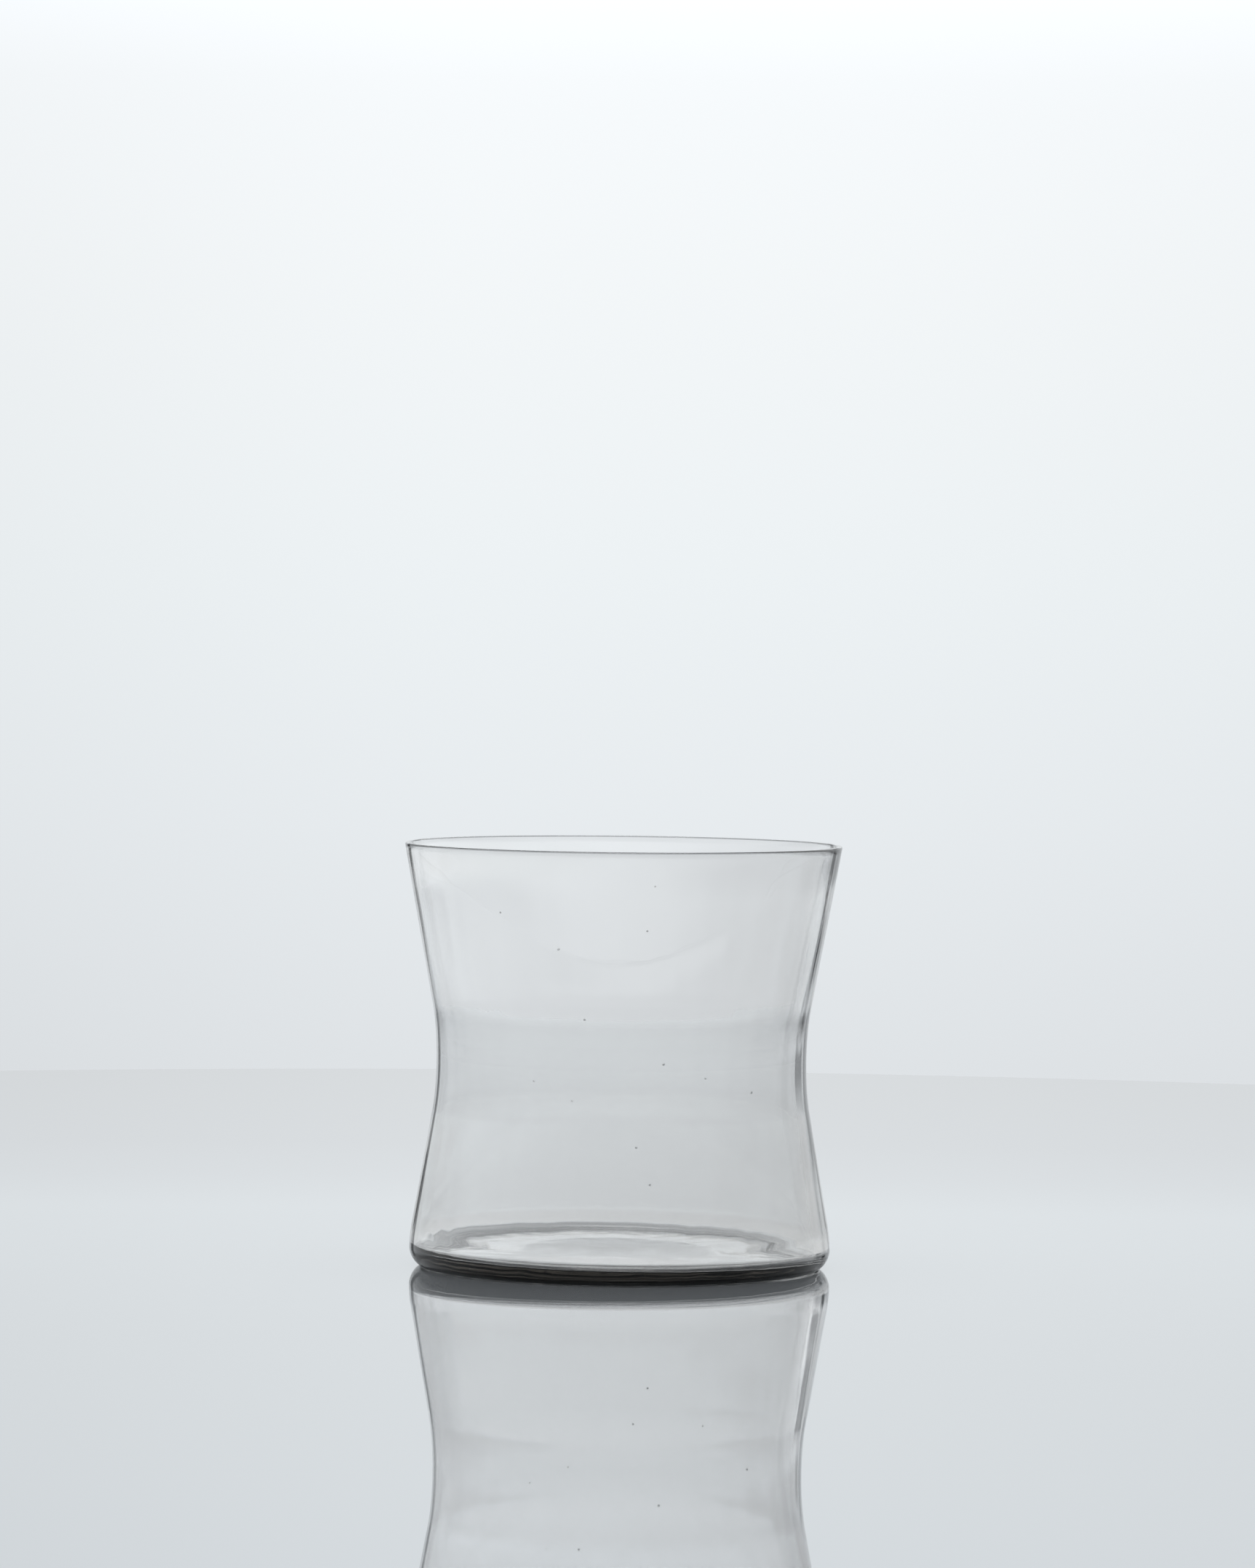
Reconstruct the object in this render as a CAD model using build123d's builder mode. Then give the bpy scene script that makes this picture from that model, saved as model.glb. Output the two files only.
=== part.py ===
from build123d import *
import math
import os

os.makedirs("parts", exist_ok=True)

# Whiskey tumbler, blown from one gather of pale smoke-grey glass.
# Millimetres. +Z is up and is the axis the glass was turned on. The origin is the middle
# of the foot, on the surface that the glass stands on.
#
# The glass has no joins. It is written here as the three zones that a glass cutter names:
# the base, the side wall and the rim. They are cut from one section by level planes, so
# they meet face to face and add up to the whole glass.

# ---- Driving dimensions: the outside -------------------------------------------------
glass_height = 85.2
rim_radius = 44.1

# The side is two cones that narrow towards each other. This is the corner where they
# would meet, and the long bend that rounds it into the waist.
waist_corner_height = 42.0
waist_corner_radius = 36.1
waist_bend_radius = 60.0

# The lower cone ends at the belly, the widest ring of the base.
belly_radius = 42.4
belly_corner_height = 5.8
largest_belly_bend_radius = 24.0

# The heel turns in from the belly to the foot.
heel_corner_height = 1.9
heel_bend_radius = 4.0
heel_inset = 2.1
foot_edge_round = 0.8

# Under the foot, a shallow hollow leaves a broad level ring for the glass to stand on.
foot_hollow_radius = 21.5
foot_hollow_depth = 0.55

# ---- Driving dimensions: the glass itself --------------------------------------------
# The wall is thinnest at the lip and thickens slowly down to the floor. The inner waist
# sits a little lower than the outer one.
wall_at_rim = 1.1
wall_at_waist = 1.3
inner_waist_drop = 1.5
inner_waist_bend_radius = 60.0
floor_thickness = 3.0
wall_at_floor = 1.9
inner_corner_round = 1.4

# ---- Driving dimensions: the rim -----------------------------------------------------
rim_zone_height = 2.4
lip_outer_round = 0.36
lip_inner_round = 0.36

# ---- Worked out from those -----------------------------------------------------------
floor_height = floor_thickness
rim_zone_start = glass_height - rim_zone_height
foot_corner_radius = belly_radius - heel_inset

inner_lip_corner = (rim_radius - wall_at_rim, glass_height)
inner_waist_corner = (
    waist_corner_radius - wall_at_waist,
    waist_corner_height - inner_waist_drop,
)
inner_floor_corner = (belly_radius - wall_at_floor, floor_height)

# The belly's bend has the upright between the heel and the belly to fit on, less the
# stretch of it that the heel's bend takes up.
heel_turn = math.atan2(heel_inset, heel_corner_height)
heel_bend_run = heel_bend_radius * math.tan(heel_turn / 2)
belly_turn = math.atan2(
    belly_radius - waist_corner_radius, waist_corner_height - belly_corner_height
)
belly_bend_room = belly_corner_height - heel_corner_height - heel_bend_run
belly_bend_radius = min(
    largest_belly_bend_radius, belly_bend_room / math.tan(belly_turn / 2)
)

# ---- The section of the glass: the right half of a cut through its middle ------------
with BuildSketch(Plane.XZ) as glass_section:
    with BuildLine():
        outside = FilletPolyline(
            (foot_hollow_radius, 0),
            (foot_corner_radius, 0),
            (belly_radius, heel_corner_height),
            (belly_radius, belly_corner_height),
            (waist_corner_radius, waist_corner_height),
            (rim_radius, glass_height),
            inner_lip_corner,
            inner_waist_corner,
            inner_floor_corner,
            (0, floor_height),
            radius=[
                foot_edge_round,
                heel_bend_radius,
                belly_bend_radius,
                waist_bend_radius,
                lip_outer_round,
                lip_inner_round,
                inner_waist_bend_radius,
                inner_corner_round,
            ],
        )
        axis_line = Line(outside @ 1, (0, foot_hollow_depth))
        foot_hollow = TangentArc(axis_line @ 1, outside @ 0, tangent=(1, 0))
    make_face()

# ---- Base: the thick floor and the heel, up to the level of the floor inside ---------
with BuildPart() as base:
    add(glass_section.sketch)
    revolve(axis=Axis.Z)
    split(bisect_by=Plane.XY.offset(floor_height), keep=Keep.BOTTOM)

base.part.label = "base"
export_step(base.part, "parts/base.step")

# ---- Side wall: from the floor, through the rounded inner corner and the waist -------
with BuildPart() as side_wall:
    add(glass_section.sketch)
    revolve(axis=Axis.Z)
    split(bisect_by=Plane.XY.offset(floor_height), keep=Keep.TOP)
    split(bisect_by=Plane.XY.offset(rim_zone_start), keep=Keep.BOTTOM)

side_wall.part.label = "side_wall"
export_step(side_wall.part, "parts/side_wall.step")

# ---- Rim: the fire-polished lip that is drunk from -----------------------------------
with BuildPart() as rim:
    add(glass_section.sketch)
    revolve(axis=Axis.Z)
    split(bisect_by=Plane.XY.offset(rim_zone_start), keep=Keep.TOP)

rim.part.label = "rim"
export_step(rim.part, "parts/rim.step")

glass_volume = base.part.volume + side_wall.part.volume + rim.part.volume
print("glass volume, cubic mm:", round(glass_volume))
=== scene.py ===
# %% [markdown]
# # A blown-glass whiskey tumbler
#
# The tumbler is one piece of pale smoke-grey glass, blown into a turned mould: a thin wall
# that narrows to a waist, a rounded heel and a thick clear floor. It has nothing joined to
# it. The CAD holds it as three zones, and here they become one closed skin of glass, because
# light has to pass through the whole thickness without meeting a join.

import math

import bpy
from mathutils import Matrix, Vector


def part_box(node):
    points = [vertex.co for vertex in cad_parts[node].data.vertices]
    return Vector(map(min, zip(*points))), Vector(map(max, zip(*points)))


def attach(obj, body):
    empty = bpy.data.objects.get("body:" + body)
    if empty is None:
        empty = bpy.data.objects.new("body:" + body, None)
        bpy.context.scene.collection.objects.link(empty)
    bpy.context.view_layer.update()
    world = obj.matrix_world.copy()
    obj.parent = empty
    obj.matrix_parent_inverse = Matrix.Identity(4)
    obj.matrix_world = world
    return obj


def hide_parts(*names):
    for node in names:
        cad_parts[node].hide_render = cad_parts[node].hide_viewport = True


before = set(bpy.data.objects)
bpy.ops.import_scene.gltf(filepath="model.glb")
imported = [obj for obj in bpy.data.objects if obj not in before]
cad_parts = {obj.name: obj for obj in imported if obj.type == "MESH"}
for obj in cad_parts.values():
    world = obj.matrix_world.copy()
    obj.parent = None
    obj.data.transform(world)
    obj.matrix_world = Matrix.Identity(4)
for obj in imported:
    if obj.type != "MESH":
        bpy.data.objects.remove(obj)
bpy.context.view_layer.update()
MM = 0.001

# %% [markdown]
# ## The driving sizes
#
# The overall sizes are read from the CAD zones, so the skin always fills the same box. The
# corners of the section between them are the glass's own: where the two cones of the side
# meet, where the side ends in the belly, and where the heel turns under.

# %% Driving sizes
rim_low, rim_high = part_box("rim")
base_low, base_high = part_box("base")

GLASS_HEIGHT = rim_high.z
RIM_RADIUS = rim_high.x
BELLY_RADIUS = base_high.x
FLOOR_HEIGHT = 3.0 * MM
WAIST_CORNER_HEIGHT = 42.0 * MM
WAIST_CORNER_RADIUS = 36.1 * MM
INNER_WAIST_HEIGHT = 40.5 * MM
INNER_WAIST_RADIUS = 34.8 * MM
BELLY_CORNER_HEIGHT = 5.8 * MM
HEEL_CORNER_HEIGHT = 1.9 * MM
FOOT_CORNER_RADIUS = 40.3 * MM
FOOT_EDGE_RISE = 0.16 * MM
FOOT_HOLLOW_RADIUS = 21.5 * MM
FOOT_HOLLOW_DEPTH = 0.55 * MM
WALL_AT_RIM = 1.1 * MM
FLOOR_RADIUS = 40.5 * MM
FLOOR_RING_RADIUS = 20.7 * MM
FLOOR_RING_RISE = 0.22 * MM
FOOT_RING_ROUND = 6.0 * MM
FOOT_CORNER_ROUND = 0.8 * MM
HEEL_ROUND = 4.0 * MM
BELLY_ROUND = 24.0 * MM
WAIST_ROUND = 60.0 * MM
LIP_ROUND = 0.36 * MM
INNER_WAIST_ROUND = 60.0 * MM
INNER_CORNER_ROUND = 1.4 * MM
FLOOR_RING_ROUND = 60.0 * MM
print("rim radius, mm:", round(RIM_RADIUS / MM, 2), "height, mm:", round(GLASS_HEIGHT / MM, 2))

# %% [markdown]
# ## The section
#
# A turned glass is the same all the way round, so the lathe's way of working suits it: draw
# half of its section once and turn it about the middle. A cylinder with scaled rings would
# give the outside, but not the inside, whose wall is thinner at the rim than at the floor.
# The section is drawn corner by corner, as a wire, and its corners are rounded after.

# %% Tools for drawing a wire
def new_wire(name, start):
    """A mesh of one vertex at a place: a plane with its corners merged."""
    bpy.ops.object.select_all(action="DESELECT")
    bpy.ops.mesh.primitive_plane_add(size=MM, location=(0, 0, 0))
    wire = bpy.context.object
    wire.name = name
    bpy.ops.object.mode_set(mode="EDIT")
    bpy.ops.mesh.select_all(action="SELECT")
    bpy.ops.mesh.merge(type="CENTER")
    bpy.ops.transform.translate(value=start)
    return wire


def draw_to(here, there):
    """Extrude the selected end of the wire to the next corner."""
    step = Vector(there) - Vector(here)
    bpy.ops.mesh.extrude_region_move(TRANSFORM_OT_translate={"value": step})
    return there


def section_point(radius, height):
    """A point of the half section, at its distance from the axis and its height."""
    return (radius, 0.0, height)


print("the wire is drawn in the XZ plane, from the axis outwards")

# %% [markdown]
# The outline runs out under the foot, up the outside, over the lip and down the inside to
# the middle of the floor. It could be traced with many points, but a turned glass has few
# real corners. Twelve corners are enough, because the rounds that follow do the rest.

# %% Draw the section
foot_middle = section_point(0, FOOT_HOLLOW_DEPTH)
foot_ring_inner = section_point(FOOT_HOLLOW_RADIUS, 0)
foot_corner = section_point(FOOT_CORNER_RADIUS, FOOT_EDGE_RISE)
heel_corner = section_point(BELLY_RADIUS, HEEL_CORNER_HEIGHT)
belly_corner = section_point(BELLY_RADIUS, BELLY_CORNER_HEIGHT)
waist_corner = section_point(WAIST_CORNER_RADIUS, WAIST_CORNER_HEIGHT)
lip_outer = section_point(RIM_RADIUS, GLASS_HEIGHT)
lip_inner = section_point(RIM_RADIUS - WALL_AT_RIM, GLASS_HEIGHT)
inner_waist = section_point(INNER_WAIST_RADIUS, INNER_WAIST_HEIGHT)
inner_floor_corner = section_point(FLOOR_RADIUS, FLOOR_HEIGHT)
floor_ring = section_point(FLOOR_RING_RADIUS, FLOOR_HEIGHT + FLOOR_RING_RISE)
floor_middle = section_point(0, FLOOR_HEIGHT)

corners = [
    foot_middle,
    foot_ring_inner,
    foot_corner,
    heel_corner,
    belly_corner,
    waist_corner,
    lip_outer,
    lip_inner,
    inner_waist,
    inner_floor_corner,
    floor_ring,
    floor_middle,
]
glass = new_wire("tumbler_glass", corners[0])
pen = corners[0]
for corner in corners[1:]:
    pen = draw_to(pen, corner)
print("section corners:", len(glass.data.vertices))

# %% [markdown]
# ## Rounding the section
#
# Blown glass has no sharp corner: the waist is a wide bend, the heel a tight one, and the
# lip a bead that the flame has melted round. The rounds could be drawn point by point, but a
# vertex bevel makes a true one from its corner. The bevel's offset is the distance from the
# corner to where the curve starts, which for a round of radius r at a turn of angle a is
# r tan(a / 2).

# %% Tools for rounding a corner
SAME_PLACE = 0.01 * MM


def pick_corner(obj, corner):
    """Select the vertex that stands at a corner of the wire."""
    bpy.ops.mesh.select_all(action="DESELECT")
    bpy.ops.mesh.select_mode(type="VERT")
    bpy.ops.object.mode_set(mode="OBJECT")
    for vertex in obj.data.vertices:
        if (vertex.co - Vector(corner)).length < SAME_PLACE:
            vertex.select = True
    bpy.ops.object.mode_set(mode="EDIT")


def turn_at(before, corner, after):
    """The angle, in radians, by which the wire turns at a corner."""
    return (Vector(corner) - Vector(before)).angle(Vector(after) - Vector(corner))


def round_corner(obj, corner, radius, facets):
    """Bevel one corner of the wire to a round of that radius."""
    place = corners.index(corner)
    turn = turn_at(corners[place - 1], corner, corners[place + 1])
    pick_corner(obj, corner)
    bpy.ops.mesh.bevel(
        offset=radius * math.tan(turn / 2),
        offset_type="OFFSET",
        segments=facets,
        profile=0.5,
        affect="VERTICES",
    )


waist_turn = turn_at(belly_corner, waist_corner, lip_outer)
print("the wall turns at the waist by, degrees:", round(math.degrees(waist_turn), 1))

# %% [markdown]
# A round needs more facets the further it turns and the more it bends what is seen through
# it. The waist and the heel get the most, because the dark lines of the glass run through
# them. The two shallow rings, under the foot and on the floor, get the fewest.

# %% Round the section's corners
ROUNDS = [
    # the corner, the radius of its round, the facets across it
    (foot_ring_inner, FOOT_RING_ROUND, 4),
    (foot_corner, FOOT_CORNER_ROUND, 5),
    (heel_corner, HEEL_ROUND, 14),
    (belly_corner, BELLY_ROUND, 6),
    (waist_corner, WAIST_ROUND, 22),
    (lip_outer, LIP_ROUND, 6),
    (lip_inner, LIP_ROUND, 6),
    (inner_waist, INNER_WAIST_ROUND, 22),
    (inner_floor_corner, INNER_CORNER_ROUND, 10),
    (floor_ring, FLOOR_RING_ROUND, 3),
]
for corner, radius, facets in ROUNDS:
    round_corner(glass, corner, radius, facets)
bpy.ops.object.mode_set(mode="OBJECT")
print("section points after rounding:", len(glass.data.vertices))

# %% [markdown]
# ## Points along the straight runs
#
# The straight runs between the rounds are still single edges. The wall's unevenness, made
# further down, needs vertices to move, so every long edge is halved until none is longer
# than a limit. Halving keeps the rounds as they are, which a remesh would not.

# %% Cut the section's long runs
LONGEST_RUN = 2.0 * MM


def cut_long_runs(obj, longest):
    """Halve every edge of the wire that is longer than a limit until none is."""
    while True:
        vertices = obj.data.vertices
        long_edges = [
            e.index for e in obj.data.edges
            if (vertices[e.vertices[0]].co - vertices[e.vertices[1]].co).length > longest
        ]
        if not long_edges:
            return
        bpy.ops.object.mode_set(mode="EDIT")
        bpy.ops.mesh.select_mode(type="EDGE")
        bpy.ops.mesh.select_all(action="DESELECT")
        bpy.ops.object.mode_set(mode="OBJECT")
        for index in long_edges:
            obj.data.edges[index].select = True
        bpy.ops.object.mode_set(mode="EDIT")
        bpy.ops.mesh.subdivide(number_cuts=1)
        bpy.ops.object.mode_set(mode="OBJECT")


cut_long_runs(glass, LONGEST_RUN)
print("section points after cutting:", len(glass.data.vertices))

# %% [markdown]
# ## Turning the section
#
# Spin turns the wire about the middle. Its two ends stand on the axis, so the turns leave a
# heap of vertices there and along the seam. Merging them closes the skin, and only then can
# Blender tell the outside from the inside.

# %% Spin it into a closed skin
TURN_STEPS = 360
MERGE_GAP = 0.002 * MM


def only(obj):
    """Leave one object selected and active, so that an operator acts on it alone."""
    bpy.ops.object.select_all(action="DESELECT")
    obj.select_set(True)
    bpy.context.view_layer.objects.active = obj


only(glass)
bpy.ops.object.mode_set(mode="EDIT")
bpy.ops.mesh.select_all(action="SELECT")
bpy.ops.mesh.spin(steps=TURN_STEPS, angle=2 * math.pi, center=(0, 0, 0), axis=(0, 0, 1))
bpy.ops.mesh.select_all(action="SELECT")
bpy.ops.mesh.remove_doubles(threshold=MERGE_GAP)
bpy.ops.mesh.normals_make_consistent(inside=False)
bpy.ops.object.mode_set(mode="OBJECT")
bpy.ops.object.shade_smooth()
print("faces of the skin:", len(glass.data.polygons))

# %% [markdown]
# ## The side that was never in the mould
#
# The outside of a mould-blown glass is as true as its mould. The inside is shaped by breath
# alone, so it is the side that is uneven. Its vertices are named here, so that every change
# that follows moves the inside only. They are found by their normals, which look into the
# hollow. A second group fades out below the lip, which is ground and fire-polished true.

# %% Name the inside
STEADY_LIP = 2.0 * MM
LIP_FADE = 10.0 * MM
LOOKS_UP, LOOKS_DOWN = 0.5, -0.5
LOOKS_INWARDS = -0.1


def faces_the_hollow(vertex):
    """Whether a vertex is on the hollow's side of the wall, which its normal tells."""
    normal = vertex.normal
    outward = Vector((vertex.co.x, vertex.co.y, 0)).normalized().dot(normal)
    on_the_floor = normal.z > LOOKS_UP and vertex.co.z < GLASS_HEIGHT / 2
    return normal.z > LOOKS_DOWN and (outward < LOOKS_INWARDS or on_the_floor)


def unevenness(vertex):
    """One over most of the inside, and nothing at the lip."""
    below_the_lip = GLASS_HEIGHT - STEADY_LIP - vertex.co.z
    return min(1.0, max(0.0, below_the_lip / LIP_FADE))


inside = glass.vertex_groups.new(name="inside")
uneven = glass.vertex_groups.new(name="uneven")
inside_vertices = [v for v in glass.data.vertices if faces_the_hollow(v)]
inside.add([v.index for v in inside_vertices], 1.0, "REPLACE")
for vertex in inside_vertices:
    uneven.add([vertex.index], unevenness(vertex), "REPLACE")
print("vertices on the inside:", len(inside_vertices), "of", len(glass.data.vertices))

# %% [markdown]
# ## The wall that came out thicker on one side
#
# The gather was a little off the middle of the mould when it was blown, so the wall is about
# half as thick on the left as on the right, and the floor runs down to the right. Sideways
# moves with a proportional falloff copy that: the inside shifts as one, and each shift dies
# away smoothly, so that no step shows in the glass.

# %% Tools for moving the inside
def pick_inside(lowest, highest):
    """Select the inside's vertices between two heights, and return how many there are."""
    bpy.ops.mesh.select_all(action="DESELECT")
    bpy.ops.mesh.select_mode(type="VERT")
    bpy.ops.object.mode_set(mode="OBJECT")
    picked = 0
    for vertex in glass.data.vertices:
        if lowest <= vertex.co.z <= highest and any(g.group == inside.index for g in vertex.groups):
            vertex.select = True
            picked += 1
    bpy.ops.object.mode_set(mode="EDIT")
    return picked


def reach(distance):
    """Settings that let a move fade out smoothly over a distance."""
    return {
        "use_proportional_edit": True,
        "proportional_edit_falloff": "SMOOTH",
        "proportional_size": distance,
    }


only(glass)
bpy.ops.object.mode_set(mode="EDIT")
print("inside vertices:", pick_inside(0, GLASS_HEIGHT))
bpy.ops.mesh.hide(unselected=True)

# %% [markdown]
# The whole inside stands off the middle, and the waist and the foot a little more so. One
# push could not do that, and a separate shape for the inside would lose the round section.
# Three pushes add up instead, each over its own stretch of the height. The outside is
# hidden meanwhile, so that the falloff can't reach through the wall to it.

# %% Shift the inside
SHIFTS = [
    # from and to in height, the move sideways and its fade, all in mm
    (0, 77, -0.43, 11),
    (44, 54, -0.18, 20),
    (0, 16, -0.32, 28),
]
for lowest, highest, sideways, fade in SHIFTS:
    picked = pick_inside(lowest * MM, highest * MM)
    bpy.ops.transform.translate(value=(sideways * MM, 0, 0), **reach(fade * MM))
    print("vertices pushed:", picked, "by, mm:", sideways)

# %% [markdown]
# The floor of a blown glass sets while the glass still hangs a little to one side, so it is
# seldom level. A tilt about the middle of the floor copies that, and the fade blends it into
# the wall. In code the pivot has to be given, because there is no view to take it from.

# %% Tilt the floor
FLOOR_TILT = 0.45
FLOOR_SKIN = 0.5 * MM
FLOOR_FADE = 15.0 * MM

pick_inside(0, FLOOR_HEIGHT + FLOOR_SKIN)
bpy.ops.transform.rotate(
    value=-math.radians(FLOOR_TILT),
    orient_axis="Y",
    center_override=(0, 0, FLOOR_HEIGHT),
    **reach(FLOOR_FADE),
)

bpy.ops.mesh.reveal(select=False)
bpy.ops.mesh.select_all(action="DESELECT")
bpy.ops.object.mode_set(mode="OBJECT")
print("floor tilt, degrees:", FLOOR_TILT)

# %% [markdown]
# ## Waves
#
# Breath and gravity leave the inside faintly wavy: broad swells a few centimetres long, and
# fine ripples that run down the wall as the glass is drawn out. Two Displace modifiers with
# soft noise make both. An empty with a long Z stretches the noise along the height.

# %% Raise the waves
SWELL_SIZE, SWELL_STRETCH, SWELL_HEIGHT = 20 * MM, 3.0, 0.10 * MM
RIPPLE_SIZE, RIPPLE_STRETCH, RIPPLE_HEIGHT = 4 * MM, 14.0, 0.07 * MM
RIPPLE_SHIFT = (0.01, 0.02, 0.0)


def wave(name, noise_size, stretch, strength, shift=(0, 0, 0)):
    """Displace the inside by soft noise, stretched along the height."""
    texture = bpy.data.textures.new(name, "CLOUDS")
    texture.noise_scale = noise_size
    texture.noise_depth = 0
    bpy.ops.object.empty_add(location=shift)
    ruler = bpy.context.object
    ruler.scale = (1, 1, stretch)
    only(glass)
    waves = glass.modifiers.new(name, "DISPLACE")
    waves.texture = texture
    waves.texture_coords = "OBJECT"
    waves.texture_coords_object = ruler
    waves.vertex_group = "uneven"
    waves.mid_level = 0.5
    waves.strength = strength
    bpy.ops.object.modifier_apply(modifier=name)
    bpy.data.objects.remove(ruler)
    bpy.data.textures.remove(texture)


wave("broad_swells", SWELL_SIZE, SWELL_STRETCH, SWELL_HEIGHT)
wave("fine_ripples", RIPPLE_SIZE, RIPPLE_STRETCH, RIPPLE_HEIGHT, shift=RIPPLE_SHIFT)
print("inside moved by up to, mm:", round((SWELL_HEIGHT + RIPPLE_HEIGHT) / 2 / MM, 3))

# %% [markdown]
# ## Seeds
#
# A seed is a small bubble trapped in the glass. Each is a closed shell inside the wall with
# its normals turned inwards, so that light leaves the glass there and enters it again. They
# are joined to the skin, because a bubble is a part of the glass's own surface. A ray sent
# out from the axis finds the middle of the wall, wherever the waves have left it.

# %% Place the bubbles
WALL_SEEDS = [
    # the turn from the front in degrees, the height and the radius in mm
    (8.4, 78.6, 0.14),
    (-35.4, 72.8, 0.18),
    (6.7, 69.8, 0.18),
    (-11.2, 52.1, 0.20),
    (13.0, 43.4, 0.22),
    (-27.7, 39.6, 0.15),
    (44.3, 37.3, 0.22),
    (-15.1, 36.0, 0.15),
    (4.6, 27.1, 0.20),
    (8.5, 19.9, 0.20),
    (150.0, 35.0, 0.18),
    (-160.0, 62.0, 0.18),
]
FLOOR_SEED_RADIUS = 0.18
FLOOR_SEED_DEPTH = 0.8 * MM
FLOOR_SEEDS = [
    # right of the middle and behind it, in mm
    (16.0, -6.0),
    (21.5, -3.0),
    (-9.0, 8.0),
    (4.0, -14.0),
    (-24.0, -11.0),
]


def middle_of_wall(turn, height):
    """The point half way through the wall, at a turn in degrees from the front."""
    direction = Vector((math.sin(math.radians(turn)), -math.cos(math.radians(turn)), 0))
    axis_point = Vector((0, 0, height))
    far_point = axis_point + 2 * RIM_RADIUS * direction
    inner = glass.ray_cast(axis_point, direction)[1]
    outer = glass.ray_cast(far_point, -direction)[1]
    return (inner + outer) / 2


seeds = [
    (middle_of_wall(turn, height * MM), radius * MM) for turn, height, radius in WALL_SEEDS
]
floor_depth = FLOOR_HEIGHT - FLOOR_SEED_DEPTH
seeds += [((x * MM, y * MM, floor_depth), FLOOR_SEED_RADIUS * MM) for x, y in FLOOR_SEEDS]
print("seeds:", len(WALL_SEEDS), "in the wall,", len(FLOOR_SEEDS), "in the floor")

# %% [markdown]
# A bubble that small is a sphere, so an icosphere is all it needs. Its normals are turned
# inwards, which tells light that there is air within. A bubble could be a separate object,
# but then the tint of the glass would run on through it.

# %% Trap the bubbles
def bubble(place, radius):
    """A closed shell of air at a place, with its faces looking into the bubble."""
    bpy.ops.object.select_all(action="DESELECT")
    bpy.ops.mesh.primitive_ico_sphere_add(subdivisions=3, radius=radius, location=place)
    bpy.ops.object.transform_apply(location=True, rotation=False, scale=False)
    bpy.ops.object.shade_smooth()
    bpy.ops.object.mode_set(mode="EDIT")
    bpy.ops.mesh.select_all(action="SELECT")
    bpy.ops.mesh.normals_make_consistent(inside=True)
    bpy.ops.object.mode_set(mode="OBJECT")
    return bpy.context.object


bubbles = [bubble(place, radius) for place, radius in seeds]
bpy.ops.object.select_all(action="DESELECT")
for shell in bubbles:
    shell.select_set(True)
glass.select_set(True)
bpy.context.view_layer.objects.active = glass
bpy.ops.object.join()
print("bubbles trapped:", len(bubbles), "faces of the skin:", len(glass.data.polygons))

# %% [markdown]
# ## The glass as a material
#
# Clear glass bends light by its index of 1.5, and the smoke tint belongs to its depth: an
# absorbing volume leaves the thin wall pale and turns the thick base brown-black, which a
# coloured surface could not do. The surface keeps what hands and cooling leave on it. Faint
# cords run down the wall as a bump, and a thin film of handling dulls a few patches.

# %% Mix the clear body
GLASS_IOR = 1.5

smoke_glass = bpy.data.materials.new("smoke_glass")
smoke_glass.use_nodes = True
glass_nodes, glass_links = smoke_glass.node_tree.nodes, smoke_glass.node_tree.links
body = glass_nodes["Principled BSDF"]
body.inputs["Base Color"].default_value = (1.0, 1.0, 1.0, 1.0)
body.inputs["IOR"].default_value = GLASS_IOR
body.inputs["Transmission Weight"].default_value = 1.0
glass_coords = glass_nodes.new("ShaderNodeTexCoord")
print("refraction of the glass:", GLASS_IOR)

# %% [markdown]
# Cords are streaks of glass of a slightly different mix, drawn out as the glass is blown. They
# could be modelled, but they are far finer than the mesh. A noise that is stretched along
# the height, read by a Bump node, bends the light in the same way.

# %% Draw the cords down the wall
CORD_SCALE, CORD_DETAIL, CORD_SQUEEZE = 700.0, 2.0, 0.05
CORD_STRENGTH, CORD_DEPTH = 0.15, 0.02 * MM

drawn_out = glass_nodes.new("ShaderNodeMapping")
drawn_out.inputs["Scale"].default_value = (1.0, 1.0, CORD_SQUEEZE)
glass_links.new(glass_coords.outputs["Object"], drawn_out.inputs["Vector"])
cords = glass_nodes.new("ShaderNodeTexNoise")
cords.inputs["Scale"].default_value = CORD_SCALE
cords.inputs["Detail"].default_value = CORD_DETAIL
glass_links.new(drawn_out.outputs["Vector"], cords.inputs["Vector"])
cord_bump = glass_nodes.new("ShaderNodeBump")
cord_bump.inputs["Strength"].default_value = CORD_STRENGTH
cord_bump.inputs["Distance"].default_value = CORD_DEPTH
glass_links.new(cords.outputs["Fac"], cord_bump.inputs["Height"])
glass_links.new(cord_bump.outputs["Normal"], body.inputs["Normal"])
print("cord depth, mm:", CORD_DEPTH / MM)

# %% [markdown]
# A glass that has been held carries a thin film in patches. It could be a second layer of
# shader, but roughness alone is enough: a soft noise raises it from none to very little, and
# only where the noise is high.

# %% Leave a film of handling
FILM_SCALE, FILM_DETAIL = 45.0, 6.0
FILM_FROM, FILM_FULL = 0.55, 0.80
FILM_ROUGHNESS = 0.02

handling = glass_nodes.new("ShaderNodeTexNoise")
handling.inputs["Scale"].default_value = FILM_SCALE
handling.inputs["Detail"].default_value = FILM_DETAIL
glass_links.new(glass_coords.outputs["Object"], handling.inputs["Vector"])
film = glass_nodes.new("ShaderNodeMapRange")
film.inputs["From Min"].default_value = FILM_FROM
film.inputs["From Max"].default_value = FILM_FULL
film.inputs["To Min"].default_value = 0.0
film.inputs["To Max"].default_value = FILM_ROUGHNESS
glass_links.new(handling.outputs["Fac"], film.inputs["Value"])
glass_links.new(film.outputs["Result"], body.inputs["Roughness"])
print("roughness of the film:", FILM_ROUGHNESS)

# %% [markdown]
# The smoke tint is in the glass, so it is a volume. The colour is what little comes through
# a great depth, and the density sets how soon the tint shows.

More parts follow.
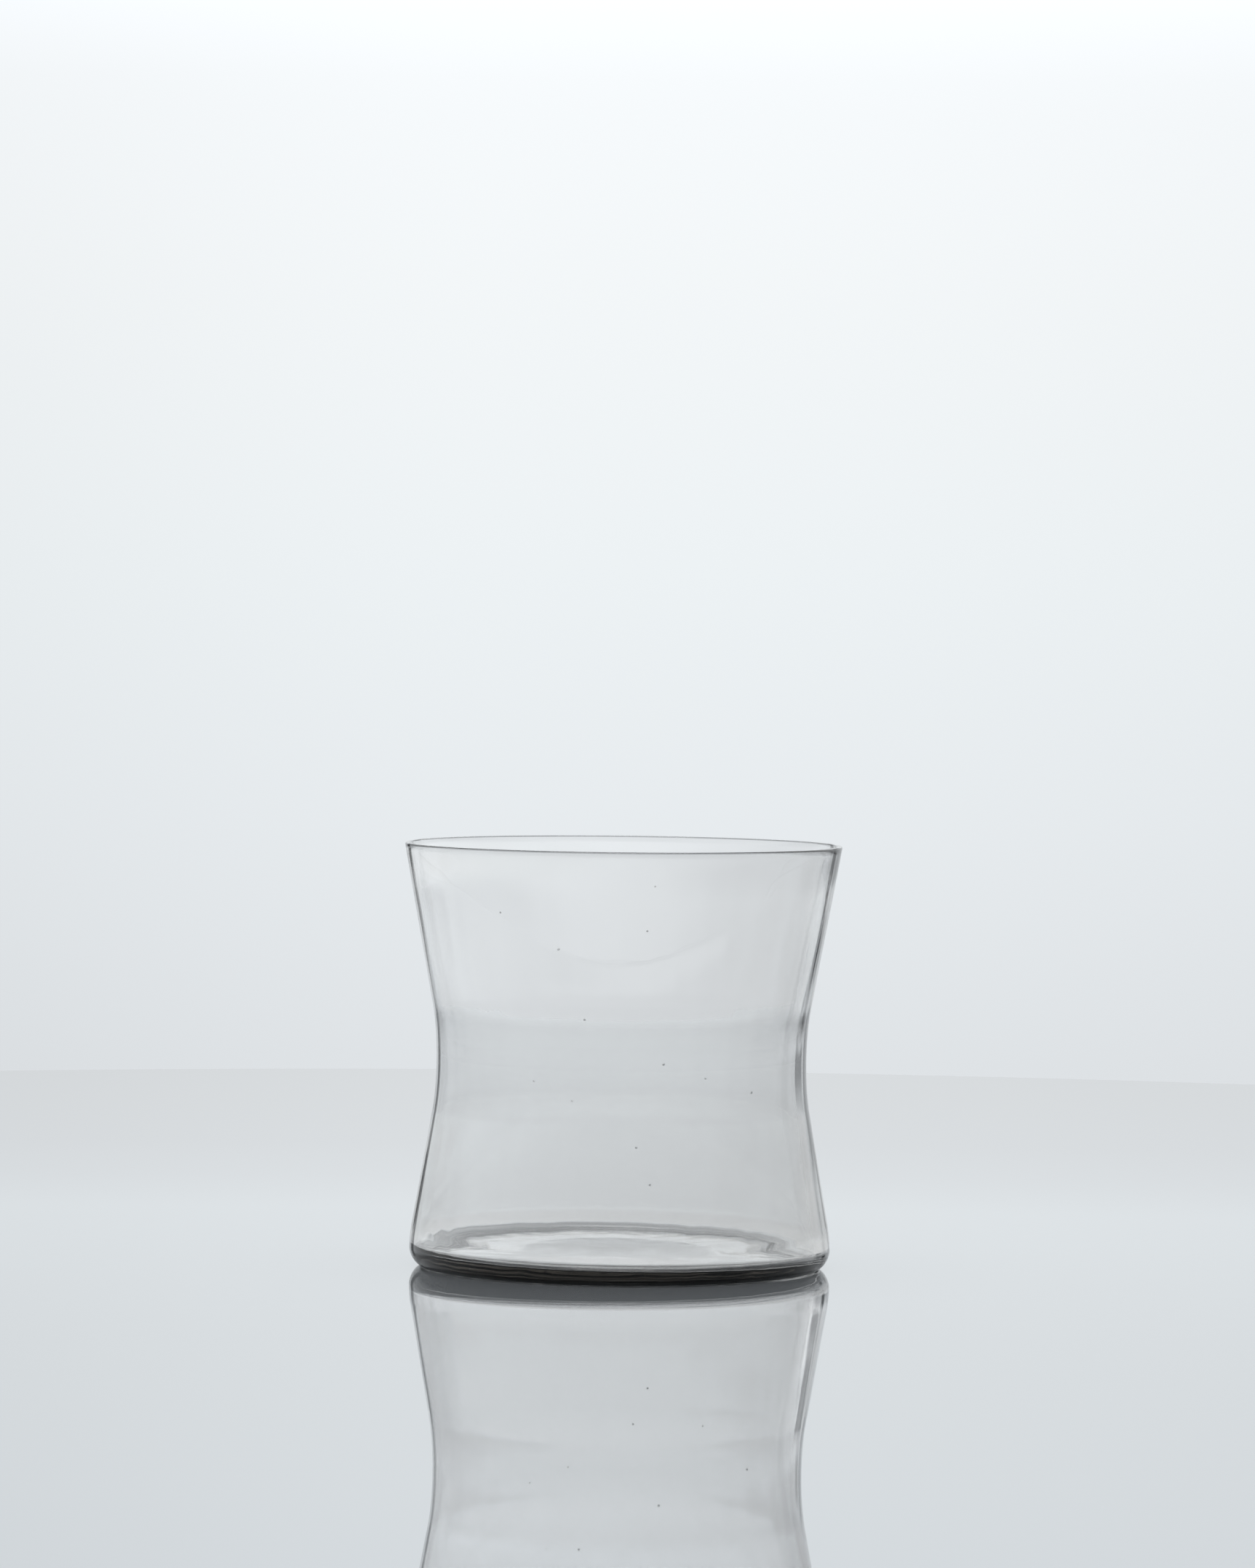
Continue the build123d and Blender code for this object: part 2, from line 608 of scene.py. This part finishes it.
# %% Tint the depth
TINT = (0.07, 0.04, 0.0, 1.0)
TINT_DENSITY = 50.0

tint = glass_nodes.new("ShaderNodeVolumeAbsorption")
tint.inputs["Color"].default_value = TINT
tint.inputs["Density"].default_value = TINT_DENSITY
glass_links.new(tint.outputs["Volume"], glass_nodes["Material Output"].inputs["Volume"])
glass.data.materials.clear()
glass.data.materials.append(smoke_glass)
print("tint density:", TINT_DENSITY)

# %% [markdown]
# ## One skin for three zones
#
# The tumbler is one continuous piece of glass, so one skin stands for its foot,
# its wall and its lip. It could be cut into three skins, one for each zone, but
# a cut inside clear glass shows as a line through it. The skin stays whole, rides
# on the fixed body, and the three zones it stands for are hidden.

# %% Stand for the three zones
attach(glass, "root")
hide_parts("base", "side_wall", "rim")
print("one skin for base, side_wall and rim")

# %% [markdown]
# ## The table top
#
# The tumbler stands on a polished dark grey top that mirrors its foot. The top
# could be a plane, but a round slab with a real edge gives the glass a true far
# horizon to bend. It sits a hair below the foot so that the two faces never
# share a plane.

# %% Lay the table top
TABLE_RADIUS = 0.55
TABLE_THICKNESS = 0.02
TABLE_DROP = 0.02 * MM
bpy.ops.object.select_all(action="DESELECT")
bpy.ops.mesh.primitive_cylinder_add(
    vertices=256,
    radius=TABLE_RADIUS,
    depth=TABLE_THICKNESS,
    location=(0, 0, -TABLE_THICKNESS / 2 - TABLE_DROP),
)
table = bpy.context.object
table.name = "table"
print("table radius, m:", TABLE_RADIUS)

# %% [markdown]
# ## The polish on the table top
#
# The top is lacquer: grey under a clear flat coat. A mirror would be simpler, but
# it would not grow dull towards the front. The coated grey reflects strongly at a
# low angle and weakly from above, which gives the pale far edge and the darker
# near edge for free.

# %% Polish the table top
TABLE_COLOUR = (0.172, 0.18, 0.188, 1.0)
TABLE_IOR = 1.5
table_gloss = bpy.data.materials.new("table_gloss")
table_gloss.use_nodes = True
table_surface = table_gloss.node_tree.nodes["Principled BSDF"]
table_surface.inputs["Base Color"].default_value = TABLE_COLOUR
table_surface.inputs["Roughness"].default_value = 0.0
table_surface.inputs["IOR"].default_value = TABLE_IOR
table.data.materials.append(table_gloss)
print("table colour:", TABLE_COLOUR[:3])

# %% [markdown]
# ## The light tent
#
# Clear glass shows nothing of its own: every line in it is a bent view of the
# room. The room here is a light tent. It could be built from panels, but panels
# add seams and noise. A world shader that reads the direction of each ray gives
# the same tent with soft, exact edges. First come two measures of a direction:
# its height above the horizon and its turn from straight ahead, in degrees.

# %% Measure a direction in the tent
world = bpy.data.worlds.new("light_tent")
bpy.context.scene.world = world
world.use_nodes = True
nodes, links = world.node_tree.nodes, world.node_tree.links
nodes.clear()
direction = nodes.new("ShaderNodeTexCoord")
split = nodes.new("ShaderNodeSeparateXYZ")
links.new(direction.outputs["Generated"], split.inputs[0])


def math_node(kind, a, b=None):
    """One sum in the shader; plain numbers are set on the socket."""
    node = nodes.new("ShaderNodeMath")
    node.operation = kind
    for socket, value in zip(node.inputs, (a, b)):
        if isinstance(value, (int, float)):
            socket.default_value = value
        elif value is not None:
            links.new(value, socket)
    return node.outputs[0]


TO_DEGREES = 180 / math.pi
height_deg = math_node("MULTIPLY", math_node("ARCSINE", split.outputs["Z"]), TO_DEGREES)
turn_deg = math_node(
    "MULTIPLY", math_node("ARCTAN2", split.outputs["X"], split.outputs["Y"]), TO_DEGREES
)
print("world nodes:", len(nodes))

# %% [markdown]
# ## The tones of the tent
#
# The tent is bright behind the tumbler and greyer below, with a grey band and then
# a bright band higher up. Neither band is seen directly: the glass bends them into
# view, and they give its inside a slow change of tone. They could be panels, each
# with an edge to hide. One ramp against height holds them all, and each tone can be
# moved on its own.

# %% Shade the tent from floor to ceiling
GRADIENT = [
    (-30.0, (0.60, 0.63, 0.65)),
    (-4.2, (0.735, 0.765, 0.79)),
    (-2.0, (0.80, 0.835, 0.86)),
    (0.0, (0.845, 0.885, 0.905)),
    (2.4, (0.895, 0.925, 0.94)),
    (4.1, (0.93, 0.96, 0.98)),
    (4.85, (0.995, 1.03, 1.06)),
    (5.3, (1.10, 1.155, 1.19)),
    (6.5, (1.12, 1.17, 1.205)),
    (8.3, (1.21, 1.275, 1.32)),
    (11.0, (0.88, 0.91, 0.93)),
    (15.2, (0.73, 0.755, 0.775)),
    (18.0, (1.50, 1.55, 1.58)),
    (30.0, (1.50, 1.55, 1.58)),
    (40.0, (0.88, 0.91, 0.93)),
]
LOW_DEG, HIGH_DEG = GRADIENT[0][0], GRADIENT[-1][0]
ramp = nodes.new("ShaderNodeValToRGB")
share = math_node("DIVIDE", math_node("SUBTRACT", height_deg, LOW_DEG), HIGH_DEG - LOW_DEG)
links.new(share, ramp.inputs[0])
stops = ramp.color_ramp.elements
while len(stops) < len(GRADIENT):
    stops.new(0.5)
for stop, (degrees, tone) in zip(stops, GRADIENT):
    stop.position = (degrees - LOW_DEG) / (HIGH_DEG - LOW_DEG)
for stop, (degrees, tone) in zip(stops, GRADIENT):
    stop.color = (*tone, 1.0)
print("tones in the tent:", len(stops))

# %% [markdown]
# ## Black flags
#
# The thin dark lines along both sides of the glass are bent views of black flags
# that stand beside the backdrop. They could be painted on the glass, but then
# they would stay put when the view turns. Two masks in the tent, each soft at its
# edges, let the wall draw the lines itself. Two small tools make them.

# %% Tools for a soft edge and a soft band
def soft_step(value, start, stop, low, high):
    """Go smoothly from low to high while the value runs from start to stop."""
    node = nodes.new("ShaderNodeMapRange")
    node.interpolation_type = "SMOOTHSTEP"
    links.new(value, node.inputs["Value"])
    node.inputs["From Min"].default_value = start
    node.inputs["From Max"].default_value = stop
    node.inputs["To Min"].default_value = low
    node.inputs["To Max"].default_value = high
    return node.outputs[0]


def between(value, start, stop, edge):
    """One between two values, nothing outside them, with soft edges."""
    rise = soft_step(value, start, start + edge, 0.0, 1.0)
    fall = soft_step(value, stop - edge, stop, 1.0, 0.0)
    return math_node("MULTIPLY", rise, fall)


steep = math_node("ABSOLUTE", height_deg)
left_turn = math_node("MULTIPLY", turn_deg, -1.0)
print("world nodes:", len(nodes))

# %% [markdown]
# ## Where the flags hang
#
# One flag hangs on each side. They could run from floor to ceiling, but a tall flag
# also darkens the middle of the glass. Both end at about thirteen degrees, and the
# right one leaves a gap at eye level. Nothing straight behind the tumbler is
# covered, so the backdrop itself stays clean.

# %% Hang the black flags
LEFT_FLAG, LEFT_FLAG_DEPTH, LEFT_FLAG_EDGE = (16.5, 27.0), 0.80, 3.0
RIGHT_FLAG, RIGHT_FLAG_DEPTH, RIGHT_FLAG_EDGE = (24.5, 33.0), 0.92, 2.0
FLAG_TOP = (11.0, 13.0)
RIGHT_FLAG_GAP = (5.2, 7.2)
left_mask = math_node(
    "MULTIPLY",
    between(left_turn, *LEFT_FLAG, LEFT_FLAG_EDGE),
    soft_step(steep, *FLAG_TOP, LEFT_FLAG_DEPTH, 0.0),
)
right_reach = math_node(
    "MULTIPLY",
    soft_step(steep, *RIGHT_FLAG_GAP, 0.0, RIGHT_FLAG_DEPTH),
    soft_step(steep, *FLAG_TOP, 1.0, 0.0),
)
right_mask = math_node(
    "MULTIPLY", between(turn_deg, *RIGHT_FLAG, RIGHT_FLAG_EDGE), right_reach
)
print("flags, degrees:", LEFT_FLAG, RIGHT_FLAG)

# %% [markdown]
# ## The side light
#
# A soft light stands to the right and lifts the right side of the glass. The
# backdrop itself fades a little to both sides. A second lamp would show as a
# shape in the glass, so the light is part of the tent.

# %% Add the side light and the fade to the sides
SIDE_GLOW, SIDE_GLOW_EDGE, SIDE_GLOW_GAIN = (20.0, 60.0), 10.0, 0.8
SIDE_GLOW_HEIGHT, SIDE_GLOW_HEIGHT_EDGE = (8.0, 16.5), 2.0
FADE = (1.0, 7.0)
LEFT_FADE, RIGHT_FADE = 0.94, 0.97
side_glow = math_node(
    "MULTIPLY",
    between(turn_deg, *SIDE_GLOW, SIDE_GLOW_EDGE),
    math_node(
        "MULTIPLY",
        between(height_deg, *SIDE_GLOW_HEIGHT, SIDE_GLOW_HEIGHT_EDGE),
        SIDE_GLOW_GAIN,
    ),
)
keep = math_node("SUBTRACT", math_node("SUBTRACT", 1.0, left_mask), right_mask)
keep = math_node("ADD", keep, side_glow)
keep = math_node("MULTIPLY", keep, soft_step(left_turn, *FADE, 1.0, LEFT_FADE))
keep = math_node("MULTIPLY", keep, soft_step(turn_deg, *FADE, 1.0, RIGHT_FADE))
print("fade to the sides:", LEFT_FADE, RIGHT_FADE)

# %% [markdown]
# ## The light itself
#
# The tone from the ramp is multiplied by the share that the flags let through, and
# sent out as light. The share could drive the strength instead, with the same
# result. Here it scales the colour, so one socket holds the whole answer.

# %% Light the tent
background = nodes.new("ShaderNodeBackground")
scaled = nodes.new("ShaderNodeVectorMath")
scaled.operation = "SCALE"
links.new(ramp.outputs[0], scaled.inputs[0])
links.new(keep, scaled.inputs["Scale"])
links.new(scaled.outputs[0], background.inputs["Color"])
output = nodes.new("ShaderNodeOutputWorld")
links.new(background.outputs[0], output.inputs["Surface"])
print("world nodes:", len(nodes))

# %% [markdown]
# ## The top lamp
#
# A broad soft lamp hangs over the table. It could be a small bright one, but that
# would leave a hard spot on the foot. A wide disk fills the grey of the table
# evenly and leaves the glass to the tent.

# %% Hang the top lamp
LAMP_HEIGHT, LAMP_SIZE, LAMP_POWER = 1.4, 1.0, 6.0
bpy.ops.object.light_add(type="AREA", location=(0, 0, LAMP_HEIGHT))
lamp = bpy.context.object
lamp.data.shape = "DISK"
lamp.data.size = LAMP_SIZE
lamp.data.energy = LAMP_POWER
print("lamp power, W:", LAMP_POWER)

# %% [markdown]
# ## The camera
#
# The tumbler is seen from well back through a long lens, slightly from above, with
# the camera a touch out of level. A short lens close up would frame it the same
# but would open the mouth too wide. The long lens keeps the far and the near lip
# almost the same width.

# %% Place the camera
CAMERA_DISTANCE, CAMERA_HEIGHT = 1.3716, 0.1383
SENSOR_MM, LENS_MM = 36.0, 156.697
PITCH, ROLL, YAW = 1.715, 0.63, -0.025
bpy.ops.object.camera_add(location=(0, -CAMERA_DISTANCE, CAMERA_HEIGHT))
camera = bpy.context.object
camera.name = "camera"
camera.data.sensor_width = SENSOR_MM
camera.data.lens = LENS_MM
camera.data.clip_end = 50.0
camera.rotation_mode = "XYZ"
camera.rotation_euler = (math.radians(90 - PITCH), 0.0, math.radians(YAW))
bpy.context.view_layer.update()
camera.rotation_euler = (
    camera.rotation_euler.to_matrix() @ Matrix.Rotation(math.radians(ROLL), 3, "Z")
).to_euler()
bpy.context.scene.camera = camera
bpy.context.scene.view_settings.view_transform = "Standard"
print("lens, mm:", LENS_MM)
